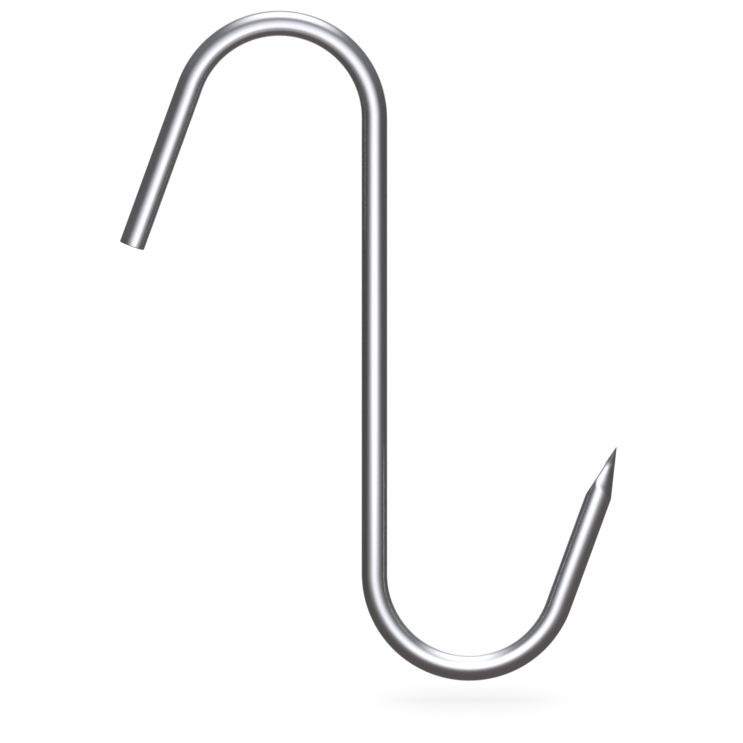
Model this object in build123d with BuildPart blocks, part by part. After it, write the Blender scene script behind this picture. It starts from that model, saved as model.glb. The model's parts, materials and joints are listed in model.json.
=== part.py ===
"""An S-shaped meat hook, made the way the real one is: from one length of round stainless bar.

The bar is cut to length, one end is ground to a round point, and it is bent twice in one plane, once
each way. Nothing is joined to it, so the hook is one solid in one node.

Frame: the hook lies in the XZ plane with its shank upright and its two bends one above the other. The
origin is the inside crown of the upper bend, where the rail carries the hook, in the middle of the rod.
"""

import os
from math import cos, radians, sin

from build123d import *

# Driving dimensions, in millimetres and degrees
ROD_DIAMETER = 8.0
BEND_RADIUS = 29.2  # of the rod's centreline, the same in both bends
BEND_ANGLE = 160.0  # 20 degrees short of a half turn, so each leg opens away from the shank
SHANK_LENGTH = 140.6  # the straight run between the bends
BLUNT_LEG_LENGTH = 52.5  # from the upper bend to the cut end
POINTED_LEG_LENGTH = 52.3  # from the lower bend to the tip
POINT_HALF_ANGLE = 13.7
SHOULDER_RADIUS = 3.5  # where the round of the rod runs into the ground point
TIP_RADIUS = 0.15
CUT_CHAMFER = 0.25  # the deburred edge of the cut end

rod_radius = ROD_DIAMETER / 2

# The ground point, along the rod's axis: the shoulder, the straight flank, then the rounded tip
half_angle = radians(POINT_HALF_ANGLE)
shoulder_length = SHOULDER_RADIUS * sin(half_angle)
flank_start_radius = rod_radius - SHOULDER_RADIUS * (1 - cos(half_angle))
flank_end_radius = TIP_RADIUS * cos(half_angle)
flank_length = (flank_start_radius - flank_end_radius) / sin(half_angle)
tip_length = TIP_RADIUS * (1 - sin(half_angle))
point_length = shoulder_length + flank_length * cos(half_angle) + tip_length
full_round_length = POINTED_LEG_LENGTH - point_length

# The rod's centreline, from the cut end to the last of the full round
upper_bend_centre = (0, rod_radius - BEND_RADIUS)
lower_bend_centre = (2 * BEND_RADIUS, rod_radius - BEND_RADIUS - SHANK_LENGTH)
with BuildLine(Plane.XZ) as centreline:
    upper_bend = CenterArc(upper_bend_centre, BEND_RADIUS, BEND_ANGLE, -BEND_ANGLE)
    cut_end = upper_bend @ 0 - (upper_bend % 0) * BLUNT_LEG_LENGTH
    blunt_leg = Line(cut_end, upper_bend @ 0)
    lower_bend = CenterArc(lower_bend_centre, BEND_RADIUS, 180, BEND_ANGLE)
    shank = Line(upper_bend @ 1, lower_bend @ 0)
    point_start = lower_bend @ 1 + (lower_bend % 1) * full_round_length
    pointed_leg = Line(lower_bend @ 1, point_start)

cut_plane = Plane(origin=cut_end, z_dir=blunt_leg % 0)
point_axis = Axis(origin=point_start, direction=pointed_leg % 1)
# A section through the point: X runs out from its axis, Y runs along it towards the tip
point_section = Plane(
    origin=point_start,
    x_dir=point_axis.direction.cross(Vector(0, 1, 0)),
    z_dir=(0, 1, 0),
)

with BuildPart() as hook_rod:
    with BuildSketch(cut_plane):
        Circle(rod_radius)
    sweep(path=centreline.wires()[0])
    cut_face = hook_rod.faces().filter_by(GeomType.PLANE).sort_by(Axis.X)[0]
    chamfer(cut_face.edges(), CUT_CHAMFER)

    with BuildSketch(point_section):
        with BuildLine():
            base = Line((0, 0), (rod_radius, 0))
            shoulder = JernArc(base @ 1, (0, 1), SHOULDER_RADIUS, POINT_HALF_ANGLE)
            flank = Line(shoulder @ 1, shoulder @ 1 + (shoulder % 1) * flank_length)
            tip = JernArc(flank @ 1, flank % 1, TIP_RADIUS, 90 - POINT_HALF_ANGLE)
            Line(tip @ 1, base @ 0)
        make_face()
    revolve(axis=point_axis)

hook_rod.part.label = "hook_rod"

os.makedirs("parts", exist_ok=True)
export_step(hook_rod.part, "parts/hook_rod.step")
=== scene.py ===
"""Looks of the S-shaped meat hook: its polished bar, ground point and cut end, in a pale studio."""

import json
from math import atan, cos, pi, radians, sin

import bpy
import numpy as np
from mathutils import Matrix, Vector


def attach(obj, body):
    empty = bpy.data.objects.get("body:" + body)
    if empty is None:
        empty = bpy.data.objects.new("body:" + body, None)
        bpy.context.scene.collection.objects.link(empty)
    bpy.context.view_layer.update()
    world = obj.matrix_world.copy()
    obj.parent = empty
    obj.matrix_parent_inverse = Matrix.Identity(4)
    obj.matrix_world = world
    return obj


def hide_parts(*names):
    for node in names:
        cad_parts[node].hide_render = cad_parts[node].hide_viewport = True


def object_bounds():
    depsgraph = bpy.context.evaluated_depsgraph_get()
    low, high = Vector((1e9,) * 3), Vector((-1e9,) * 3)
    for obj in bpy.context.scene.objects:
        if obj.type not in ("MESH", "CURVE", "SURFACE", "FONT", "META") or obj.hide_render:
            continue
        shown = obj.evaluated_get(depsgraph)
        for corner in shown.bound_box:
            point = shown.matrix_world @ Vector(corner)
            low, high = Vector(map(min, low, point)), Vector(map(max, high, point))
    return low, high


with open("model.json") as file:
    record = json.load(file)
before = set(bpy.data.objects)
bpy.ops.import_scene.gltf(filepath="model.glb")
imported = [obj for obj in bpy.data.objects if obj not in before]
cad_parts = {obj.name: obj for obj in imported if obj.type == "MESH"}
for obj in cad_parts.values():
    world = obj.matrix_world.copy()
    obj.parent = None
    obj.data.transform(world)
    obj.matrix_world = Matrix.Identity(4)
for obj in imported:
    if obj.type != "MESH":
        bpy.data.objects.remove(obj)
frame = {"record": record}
cad_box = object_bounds()

# --------------------------------------------------------------------------------------------------
# The bar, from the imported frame. Lengths are in metres. The hook lies in the plane Y = 0.
# --------------------------------------------------------------------------------------------------
mounts = {mount["name"]: mount for mount in frame["record"]["mounts"]}
rail_seat = Vector(mounts["rail_seat"]["pos_m"])
load_seat = Vector(mounts["load_seat"]["pos_m"])
blunt_leg = mounts["blunt_leg"]
blunt_middle = Vector(blunt_leg["pos_m"])
blunt_direction = Vector(blunt_leg["axis"])
blunt_round = blunt_leg["dims"]["length_mm"] / 1000
pointed_round = mounts["pointed_leg"]["dims"]["length_mm"] / 1000

BAR_RADIUS = blunt_leg["dims"]["r_mm"] / 1000
BEND_RADIUS = (load_seat.x - rail_seat.x) / 2
SHANK_LENGTH = rail_seat.z - load_seat.z - 2 * (BEND_RADIUS - BAR_RADIUS)
LEG_OPENING = atan(blunt_direction.x / blunt_direction.z)  # between each leg and the shank
BEND_ANGLE = pi - LEG_OPENING
CUT_CHAMFER = 0.00025
POINT_LENGTH = 0.01672  # from the end of the full round to the apex, where the flanks would meet

# Bending takes this share off the bar's radius in the bend's plane, and adds half of it across
BEND_FLATTENING = 0.008
FLATTENING_RUN = 0.008  # how far a bend's flattening takes to fade into a straight

# The ground point, by the distance back from its apex. Its section is an oval beside the bar's
# axis, with a flat on the side that faces the shank. Slopes are lengths per unit of distance.
OVAL_WIDTH = 0.315
OVAL_OFFSET = 0.065
INNER_FLAT = 0.234
TIP_THICKNESS = 0.45  # the oval thickens fast near the tip
BACK_START = 0.00133  # and slowly farther back
BACK_THICKNESS = 0.17
FRONT_SHOULDER = 0.0137  # up to a steep shoulder, in front and behind, where the round bar starts
SHOULDER_DROP = 0.6
TIP_RADIUS = 0.00012

# How far its edges are rounded
SOFTENING = 0.0002
SHOULDER_SOFTENING = 0.0005  # in front and behind
FLAT_SOFTENING = 0.06  # of the flat near the tip, per unit of distance from the apex

# Mesh
SIDES = 128
STRAIGHT_STEP = 0.0016
BEND_STEP = 0.0009
POINT_STEP = 0.00022
POINT_LEAD = 0.002  # the fine steps start this far before the point
CUT_RINGS = 10
RIM_ANGLES = np.radians([0, 20, 45, 70, 90])  # of the rings round the cut's deburred edge
TIP_ANGLES = np.radians([0, 25, 50, 70])
BAR_SLOT, CUT_SLOT = 0, 1

# Where the looks change: from none to full between the two values of each pair
GRIND_DEPTH = (0.002, 0.03)  # the share of the radius that is ground away
WEAR_SIDE = (0.1, 0.9)  # the share of the radius towards the seat
DARKER_TIP = (0.0077, 0.0045)  # the distance back from the apex over which the bar turns darker, greener and rougher
RAIL_WEAR_REACH = 0.024
LOAD_WEAR_REACH = 0.028


def runs_of_bar():
    """The straights and bends of the bar as (start, length, curvature), and where the last ends."""
    bend_length = BEND_RADIUS * BEND_ANGLE
    shapes = (
        (CUT_CHAMFER + blunt_round, 0),
        (bend_length, -1 / BEND_RADIUS),
        (SHANK_LENGTH, 0),
        (bend_length, 1 / BEND_RADIUS),
        (pointed_round + POINT_LENGTH, 0),
    )
    runs = []
    start = 0
    for length, curvature in shapes:
        runs.append((start, length, curvature))
        start += length
    return runs, start


RUNS, APEX_AT = runs_of_bar()
UPPER_BEND_AT, SHANK_AT, LOWER_BEND_AT, POINTED_LEG_AT = (run[0] for run in RUNS[1:])
FINE_STEPS_AT = APEX_AT - POINT_LENGTH - POINT_LEAD
RAIL_SEAT_AT = UPPER_BEND_AT + BEND_RADIUS * (pi / 2 - LEG_OPENING)
LOAD_SEAT_AT = LOWER_BEND_AT + BEND_RADIUS * pi / 2


def along_run(run, angle, curvature):
    """How far X and Z move over a run that sets out at an angle and turns by its curvature."""
    if curvature:
        turned = angle + run * curvature
        return (np.sin(turned) - sin(angle)) / curvature, (cos(angle) - np.cos(turned)) / curvature
    return run * cos(angle), run * sin(angle)


def centreline(along):
    """The bar's centre in X and Z, and its heading, at distances along it from the cut end."""
    x = np.zeros(len(along))
    z = np.zeros(len(along))
    heading = np.zeros(len(along))
    cut_end = blunt_middle + blunt_direction * (blunt_round / 2 + CUT_CHAMFER)
    start_x, start_z, angle = cut_end.x, cut_end.z, pi / 2 - LEG_OPENING
    for start, length, curvature in RUNS:
        here = along >= start
        run = along[here] - start
        move_x, move_z = along_run(run, angle, curvature)
        x[here] = start_x + move_x
        z[here] = start_z + move_z
        heading[here] = angle + run * curvature
        end_x, end_z = along_run(length, angle, curvature)
        start_x += end_x
        start_z += end_z
        angle += length * curvature
    return x, z, heading


def ramp(values, start, end):
    """0 up to the start, rising smoothly to 1 at the end."""
    share = np.clip((values - start) / (end - start), 0, 1)
    return share * share * (3 - 2 * share)


def near(values, middle, reach):
    """1 at the middle, falling smoothly to 0 at the reach on either side."""
    return 1 - ramp(np.abs(values - middle), 0, reach)


def smaller(first, second, rounding):
    """The smaller of two values, blended over a small difference between them."""
    blend = np.clip(1 - np.abs(first - second) / rounding, 0, 1)
    return np.minimum(first, second) - blend * blend * rounding / 4


def larger(first, second, rounding):
    """The larger of two values, blended over a small difference between them."""
    return -smaller(-first, -second, rounding)


def in_bends(along):
    """1 along each bend, fading out over a short run of the straight on either side."""
    total = np.zeros(len(along))
    for start, length, curvature in RUNS:
        if curvature:
            rise = ramp(along, start - FLATTENING_RUN / 2, start + FLATTENING_RUN)
            end = start + length
            total += rise * (1 - ramp(along, end - FLATTENING_RUN, end + FLATTENING_RUN / 2))
    return total


def steps(start, end, step):
    """Evenly spaced distances from start up to, but not including, end."""
    return np.linspace(start, end, max(1, round((end - start) / step)), endpoint=False)


def ground_radius(from_apex, around):
    """The bar's radius all round at distances back from the apex, where grinding has shaped it."""
    from_apex = from_apex[:, None]
    inward = np.cos(around)[None, :]
    forward = np.sin(around)[None, :]
    width = OVAL_WIDTH * from_apex
    offset = OVAL_OFFSET * from_apex
    tip = TIP_THICKNESS * from_apex
    back = BACK_START + BACK_THICKNESS * from_apex
    shoulder = BAR_RADIUS - SHOULDER_DROP * (FRONT_SHOULDER - from_apex)
    thickness = larger(smaller(tip, back, SOFTENING), shoulder, SHOULDER_SOFTENING)
    # The oval's edge is the root of a * radius**2 - 2 * b * radius + c = 0
    a = (inward / width) ** 2 + (forward / thickness) ** 2
    b = inward * offset / width**2
    c = (offset / width) ** 2 - 1
    oval = (b + np.sqrt(b * b - a * c)) / a
    least_inward = 0.05  # farther round the bar than this there is no flat
    flat = INNER_FLAT * from_apex / np.maximum(inward, least_inward)
    ground = smaller(oval, flat, np.minimum(SOFTENING, FLAT_SOFTENING * from_apex))
    rounding = SOFTENING + (SHOULDER_SOFTENING - SOFTENING) * forward**2
    return smaller(ground, BAR_RADIUS, rounding)


def bar_rings(around):
    """Distance along the bar of each ring, its radius all round, and where the tip ends."""
    face_radius = BAR_RADIUS - CUT_CHAMFER
    face = [(0, face_radius * ring / CUT_RINGS) for ring in range(1, CUT_RINGS)]
    rim = [(CUT_CHAMFER * (1 - cos(a)), face_radius + CUT_CHAMFER * sin(a)) for a in RIM_ANGLES]
    round_bar = np.concatenate(
        [
            steps(CUT_CHAMFER, UPPER_BEND_AT, STRAIGHT_STEP)[1:],
            steps(UPPER_BEND_AT, SHANK_AT, BEND_STEP),
            steps(SHANK_AT, LOWER_BEND_AT, STRAIGHT_STEP),
            steps(LOWER_BEND_AT, POINTED_LEG_AT, BEND_STEP),
            steps(POINTED_LEG_AT, FINE_STEPS_AT, STRAIGHT_STEP),
        ]
    )
    profile = np.array(face + rim + [(place, BAR_RADIUS) for place in round_bar])
    radii = np.repeat(profile[:, 1][:, None], len(around), axis=1)

    point_end = APEX_AT - TIP_RADIUS / INNER_FLAT
    point = steps(FINE_STEPS_AT, point_end, POINT_STEP)
    point_radii = ground_radius(APEX_AT - point, around)
    tip = point_end + TIP_RADIUS * np.sin(TIP_ANGLES)
    end_radii = ground_radius(np.array([APEX_AT - point_end]), around)
    tip_radii = end_radii * np.cos(TIP_ANGLES)[:, None]

    along = np.concatenate([profile[:, 0], point, tip])
    return along, np.concatenate([radii, point_radii, tip_radii]), point_end + TIP_RADIUS


def ring_faces(count):
    """Quads between the rings and fans at both ends, each with its material slot."""
    faces = []
    slots = []
    cut_pole = count * SIDES
    tip_pole = cut_pole + 1
    last = (count - 1) * SIDES
    for side in range(SIDES):
        after = (side + 1) % SIDES
        faces.append((side, after, cut_pole))
        slots.append(CUT_SLOT)
        faces.append((last + after, last + side, tip_pole))
        slots.append(BAR_SLOT)
        for ring in range(count - 1):
            a = ring * SIDES
            b = a + SIDES
            faces.append((a + side, b + side, b + after, a + after))
            slots.append(CUT_SLOT if ring < CUT_RINGS - 1 else BAR_SLOT)
    return faces, slots


def make_hook():
    """The whole bar as one mesh, which also keeps where each point was before the bar was bent."""
    around = np.arange(SIDES) * 2 * pi / SIDES
    along, radius, tip_end = bar_rings(around)
    x, z, heading = centreline(along)
    flattening = BEND_FLATTENING * in_bends(along)[:, None]
    straight_x = radius * np.cos(around)
    straight_y = radius * np.sin(around)
    in_plane = straight_x * (1 - flattening)
    across = straight_y * (1 + flattening / 2)
    bent_x = x[:, None] - np.sin(heading)[:, None] * in_plane
    bent_z = z[:, None] + np.cos(heading)[:, None] * in_plane
    rows = np.repeat(along[:, None], SIDES, axis=1)
    points = np.stack([bent_x, across, bent_z], axis=2).reshape(-1, 3)
    straight = np.stack([straight_x, straight_y, rows], axis=2).reshape(-1, 3)

    ends = np.array([0, tip_end])
    end_x, end_z, _ = centreline(ends)
    points = np.concatenate([points, np.stack([end_x, ends * 0, end_z], axis=1)])
    straight = np.concatenate([straight, np.stack([ends * 0, ends * 0, ends], axis=1)])

    faces, slots = ring_faces(len(along))
    mesh = bpy.data.meshes.new("bent_bar")
    mesh.from_pydata(points.tolist(), [], faces)
    mesh.polygons.foreach_set("use_smooth", [True] * len(faces))
    mesh.polygons.foreach_set("material_index", slots)
    bar = mesh.attributes.new("bar", "FLOAT_VECTOR", "POINT")
    bar.data.foreach_set("vector", straight.ravel())

    bar_x, bar_y, place = straight.T
    depth = 1 - np.hypot(bar_x, bar_y) / BAR_RADIUS
    inner = bar_x / BAR_RADIUS
    rail_wear = near(place, RAIL_SEAT_AT, RAIL_WEAR_REACH) * ramp(-inner, *WEAR_SIDE)
    load_wear = near(place, LOAD_SEAT_AT, LOAD_WEAR_REACH) * ramp(inner, *WEAR_SIDE)
    masks = {
        "ground": ramp(depth, *GRIND_DEPTH) * (place > POINTED_LEG_AT),
        "wear": np.maximum(rail_wear, load_wear),
        "tip": ramp(place, *(APEX_AT - distance for distance in DARKER_TIP)),
    }
    for name, values in masks.items():
        mesh.attributes.new(name, "FLOAT", "POINT").data.foreach_set("value", values)
    mesh.update()
    piece = bpy.data.objects.new("bent_bar", mesh)
    bpy.context.scene.collection.objects.link(piece)
    return piece


# --------------------------------------------------------------------------------------------------
# Materials. Grains are sized across the bar, in the hook's plane and out of it, and then along it.
# --------------------------------------------------------------------------------------------------
DRAW_LINE_SIZE = (0.0006, 0.0006, 0.060)
HAZE_SIZE = (0.005, 0.005, 0.016)
RUBBING_SIZE = (0.006, 0.006, 0.0005)
GRINDING_RING_SIZE = (0.005, 0.005, 0.0007)
BAR_ROUGHNESS = 0.215
LINE_ROUGHNESS = 0.010
HAZE_ROUGHNESS = 0.010
RUBBING_ROUGHNESS = 0.04
WEAR_ROUGHNESS = 0.03
TIP_ROUGHNESS = 0.60
BAR_TONES = (0.68, 0.68, 0.685, 1), (0.73, 0.73, 0.73, 1)
TIP_COLOUR = (0.287, 0.308, 0.300, 1)
BAR_RELIEF = 0.0000015
DRAW_LINE_DEPTH = 0.3  # beside the grinding rings

SAW_MARK_SIZE = (0.00035, 0.006, 0.004)
PATCH_SIZE = (0.0016, 0.0022, 0.002)
CUT_ROUGHNESS = 0.38
SAW_ROUGHNESS = 0.06
CUT_TONES = (0.58, 0.58, 0.59, 1), (0.70, 0.70, 0.70, 1)
CUT_RELIEF = 0.000006


class Shader:
    """A node tree that is filled by one call per node."""

    def __init__(self, tree):
        self.tree = tree
        tree.nodes.clear()

    def node(self, kind, inputs=None, **settings):
        """Adds a node. An input is given by name or number, as a value or as a socket to link."""
        node = self.tree.nodes.new("ShaderNode" + kind)
        for name, value in settings.items():
            setattr(node, name, value)
        for key, value in (inputs or {}).items():
            if isinstance(value, bpy.types.NodeSocket):
                self.tree.links.new(value, node.inputs[key])
            else:
                node.inputs[key].default_value = value
        return node

    def math(self, operation, *values):
        return self.node("Math", dict(enumerate(values)), operation=operation).outputs[0]

    def attribute(self, name, output="Fac"):
        return self.node("Attribute", attribute_name=name).outputs[output]

    def grain(self, coordinates, size, detail=2.0, roughness=0.5):
        """Noise from -1 to 1 whose blobs have the given size in metres along each axis."""
        frequency = tuple(1 / length for length in size)
        scaled = self.node("VectorMath", {0: coordinates, 1: frequency}, operation="MULTIPLY")
        noise = self.node(
            "TexNoise",
            {"Vector": scaled.outputs[0], "Scale": 1.0, "Detail": detail, "Roughness": roughness},
        )
        least, most = 0.3, 0.7  # nearly all of the noise lies between these
        return self.between(noise.outputs["Fac"], least, most, -1.0, 1.0)

    def between(self, value, low, high, to_low, to_high):
        limits = {"From Min": low, "From Max": high, "To Min": to_low, "To Max": to_high}
        return self.node("MapRange", {"Value": value, **limits}, clamp=True).outputs[0]

    # The Mix node has a pair of inputs for each type: 2 and 3 for numbers, 6 and 7 for colours
    def mix(self, share, first, second):
        mixed = self.node("Mix", {"Factor": share, 2: first, 3: second}, data_type="FLOAT")
        return mixed.outputs[0]

    def colours(self, share, first, second):
        mixed = self.node("Mix", {"Factor": share, 6: first, 7: second}, data_type="RGBA")
        return mixed.outputs[2]


def new_material(name):
    material = bpy.data.materials.new(name)
    material.use_nodes = True
    return material, Shader(material.node_tree)


def finish_metal(shader, base_color, roughness, height, relief):
    """Ends in bare metal. Its height runs from -1 to 1, in units of the relief in metres."""
    bump = shader.node("Bump", {"Height": height, "Distance": relief, "Strength": 1.0})
    metal = shader.node(
        "BsdfPrincipled",
        {
            "Base Color": base_color,
            "Metallic": 1.0,
            "Roughness": roughness,
            "Normal": bump.outputs[0],
        },
    )
    shader.node("OutputMaterial", {"Surface": metal.outputs[0]})


def polished_bar_material():
    """Faint draw lines and haze, rubbing at the seats, and a ground point that turns darker,
    greener and rougher towards its tip.
    """
    material, shader = new_material("polished_stainless")
    bar = shader.attribute("bar", "Vector")
    ground = shader.attribute("ground")
    wear = shader.attribute("wear")
    tip = shader.attribute("tip")
    draw_lines = shader.grain(bar, DRAW_LINE_SIZE, detail=3.0, roughness=0.6)
    haze = shader.grain(bar, HAZE_SIZE)
    rubbing = shader.grain(bar, RUBBING_SIZE, detail=3.0, roughness=0.6)
    rings = shader.grain(bar, GRINDING_RING_SIZE, detail=3.0, roughness=0.6)
    lines = shader.mix(ground, draw_lines, rings)
    rubbed = shader.math("MULTIPLY", rubbing, wear)

    roughness = shader.math("MULTIPLY_ADD", lines, LINE_ROUGHNESS, BAR_ROUGHNESS)
    roughness = shader.math("MULTIPLY_ADD", haze, HAZE_ROUGHNESS, roughness)
    roughness = shader.math("MULTIPLY_ADD", rubbed, RUBBING_ROUGHNESS, roughness)
    roughness = shader.math("MULTIPLY_ADD", wear, WEAR_ROUGHNESS, roughness)
    roughness = shader.math("MULTIPLY_ADD", tip, TIP_ROUGHNESS, roughness)
    tone = shader.between(shader.math("ADD", lines, haze), -2.0, 2.0, 0.0, 1.0)
    # Towards the apex the colour turns darker and greener
    colour = shader.colours(tip, shader.colours(tone, *BAR_TONES), TIP_COLOUR)
    height = shader.math("MULTIPLY", lines, shader.mix(ground, DRAW_LINE_DEPTH, 1.0))
    finish_metal(shader, colour, roughness, height, BAR_RELIEF)
    return material


def cut_end_material():
    """The sawn face of the bar: straight tooth marks, a little rougher than the bar."""
    material, shader = new_material("cut_stainless")
    bar = shader.attribute("bar", "Vector")
    saw_marks = shader.grain(bar, SAW_MARK_SIZE, detail=3.0, roughness=0.65)
    patches = shader.grain(bar, PATCH_SIZE)
    roughness = shader.math("MULTIPLY_ADD", saw_marks, SAW_ROUGHNESS, CUT_ROUGHNESS)
    colour = shader.colours(shader.between(patches, -1.0, 1.0, 0.0, 1.0), *CUT_TONES)
    finish_metal(shader, colour, roughness, saw_marks, CUT_RELIEF)
    return material


hook = make_hook()
hook.data.materials.append(polished_bar_material())
hook.data.materials.append(cut_end_material())
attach(hook, "root")
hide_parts("hook_rod")


# --------------------------------------------------------------------------------------------------
# Studio: a pale floor, soft boxes in front, overhead and behind, and a dim room round the steel
# --------------------------------------------------------------------------------------------------
BOX_COLOUR = (0.99, 0.995, 1.065, 1)
BOX_REACH = 2.4  # how many half sizes out a soft box ends, where its glow has all but gone


def soft_box(name, centre, facing, half_size, sharpness, brightness):
    """A clear panel that glows less towards its edges. It shows only in the steel's reflections."""
    half_x, half_y = (BOX_REACH * half for half in half_size)
    signs = ((-1, -1), (1, -1), (1, 1), (-1, 1))
    corners = [(sign_x * half_x, sign_y * half_y, 0) for sign_x, sign_y in signs]
    mesh = bpy.data.meshes.new(name)
    mesh.from_pydata(corners, [], [(0, 1, 2, 3)])
    panel = bpy.data.objects.new(name, mesh)
    panel.location = centre
    panel.rotation_euler = Vector(facing).to_track_quat("Z", "Y").to_euler()
    panel.visible_camera = False
    panel.visible_diffuse = False
    panel.visible_shadow = False
    bpy.context.scene.collection.objects.link(panel)
    material, shader = new_material(name)
    place = shader.node("SeparateXYZ", {0: shader.node("TexCoord").outputs["Object"]})
    falls = []
    for axis in range(2):
        share = shader.math("DIVIDE", shader.math("ABSOLUTE", place.outputs[axis]), half_size[axis])
        falls.append(shader.math("POWER", share, sharpness[axis]))
    fall = shader.math("MULTIPLY", shader.math("ADD", *falls), -1.0)
    strength = shader.math("MULTIPLY", shader.math("EXPONENT", fall), brightness)
    glow = shader.node("Emission", {"Color": BOX_COLOUR, "Strength": strength})
    clear = shader.node("BsdfTransparent")
    both = shader.node("AddShader", {0: glow.outputs[0], 1: clear.outputs[0]})
    shader.node("OutputMaterial", {"Surface": both.outputs[0]})
    mesh.materials.append(material)


soft_box(
    "low_box",
    centre=(0.030, -0.120, -0.138),
    facing=(0, 1, 0),
    half_size=(0.160, 0.094),
    sharpness=(1.5, 2.2),
    brightness=0.42,
)
soft_box(
    "front_box",
    centre=(0.033, -0.273, -0.070),
    facing=(0, 0.926, -0.378),
    half_size=(0.180, 0.197),
    sharpness=(2.0, 3.2),
    brightness=1.30,
)
soft_box(
    "overhead_box",
    centre=(0.60, 0.45, 6.0),
    facing=(0, 0, -1),
    half_size=(3.45, 4.55),
    sharpness=(4.0, 4.0),
    brightness=1.45,
)
soft_box(
    "back_box",
    centre=(0.031, 0.6, -0.06),
    facing=(0, -1, 0),
    half_size=(0.28, 0.40),
    sharpness=(2, 2),
    brightness=1.3,
)


def make_world():
    """White all round for the floor and the camera, and a dim room where only the steel looks."""
    low_tint, high_tint = (1.10, 0.97, 0.94, 1), (0.94, 1.00, 1.08, 1)
    low_level, high_level = 0.116, 0.195
    horizon_dip, horizon_sharpness = 0.45, 6.0
    right_gain = 0.08  # how much brighter the room is on the right
    pale_level = 1.10

    world = bpy.data.worlds.new("studio")
    world.use_nodes = True
    bpy.context.scene.world = world
    room = Shader(world.node_tree)
    direction = room.node("SeparateXYZ", {0: room.node("TexCoord").outputs["Generated"]})
    height = direction.outputs[2]
    colour = room.colours(room.between(height, -0.7, 0.7, 0.0, 1.0), low_tint, high_tint)
    level = room.between(height, -0.6, 0.6, low_level, high_level)
    from_horizon = room.math("MULTIPLY", room.math("POWER", height, 2.0), -horizon_sharpness)
    horizon = room.math("EXPONENT", from_horizon)
    dip = room.math("MULTIPLY_ADD", horizon, -horizon_dip, 1.0)
    level = room.math("MULTIPLY", level, dip)
    across = room.math("MULTIPLY_ADD", direction.outputs[0], right_gain, 1.0)
    level = room.math("MULTIPLY", level, across)
    dim = room.node("Background", {"Color": colour, "Strength": level})
    pale = room.node("Background", {"Color": (1, 1, 1, 1), "Strength": pale_level})
    in_steel = room.node("LightPath").outputs["Is Glossy Ray"]
    both = room.node("MixShader", {0: in_steel, 1: pale.outputs[0], 2: dim.outputs[0]})
    room.node("OutputWorld", {"Surface": both.outputs[0]})


def make_floor():
    """A pale floor just under the hook, mostly glowing, with a painted soft shadow in its glow
    where the hook is low.
    """
    size, gap = 12, 0.006
    shade_width, shade_depth, shade_strength = 0.025, 0.050, 0.085
    glow_level, glow_share = 1.01, 0.75

    bpy.ops.mesh.primitive_plane_add(size=size, location=(0, 0, cad_box[0].z - gap))
    floor = bpy.context.object
    floor.name = "floor"
    floor.visible_glossy = False
    material, shader = new_material("pale_floor")
    place = shader.node("SeparateXYZ", {0: shader.node("TexCoord").outputs["Object"]})
    # Painted shadow: the floor's glow dims in a soft patch set by place, centred under the load
    # seat
    across = shader.math("SUBTRACT", place.outputs[0], load_seat.x)
    across = shader.math("DIVIDE", across, shade_width)
    deep = shader.math("DIVIDE", place.outputs[1], shade_depth)
    fall = shader.math("ADD", shader.math("POWER", across, 4.0), shader.math("POWER", deep, 2.0))
    shade = shader.math("EXPONENT", shader.math("MULTIPLY", fall, -1.0))
    strength = shader.math("MULTIPLY_ADD", shade, -shade_strength, glow_level)
    matt = shader.node("BsdfDiffuse", {"Color": (0.96, 0.96, 0.96, 1)})
    glow = shader.node("Emission", {"Color": (1, 1, 1, 1), "Strength": strength})
    both = shader.node("MixShader", {0: glow_share, 1: matt.outputs[0], 2: glow.outputs[0]})
    shader.node("OutputMaterial", {"Surface": both.outputs[0]})
    floor.data.materials.append(material)


make_world()
make_floor()

# --------------------------------------------------------------------------------------------------
# Camera: straight on and slightly from above, far off with a long lens
# --------------------------------------------------------------------------------------------------
CAMERA_DISTANCE = 4.6
CAMERA_RISE = radians(4.5)
VIEW_WIDTH = 0.2287
VIEW_CENTRE = Vector((0.0283, 0, -0.1033))


def make_camera():
    data = bpy.data.cameras.new("camera")
    data.lens = data.sensor_width * CAMERA_DISTANCE / VIEW_WIDTH
    camera = bpy.data.objects.new("camera", data)
    back = Vector((0, -cos(CAMERA_RISE), sin(CAMERA_RISE)))
    camera.location = VIEW_CENTRE + back * CAMERA_DISTANCE
    camera.rotation_euler = back.to_track_quat("Z", "Y").to_euler()
    bpy.context.scene.collection.objects.link(camera)
    bpy.context.scene.camera = camera
    bpy.context.scene.view_settings.view_transform = "Standard"


make_camera()
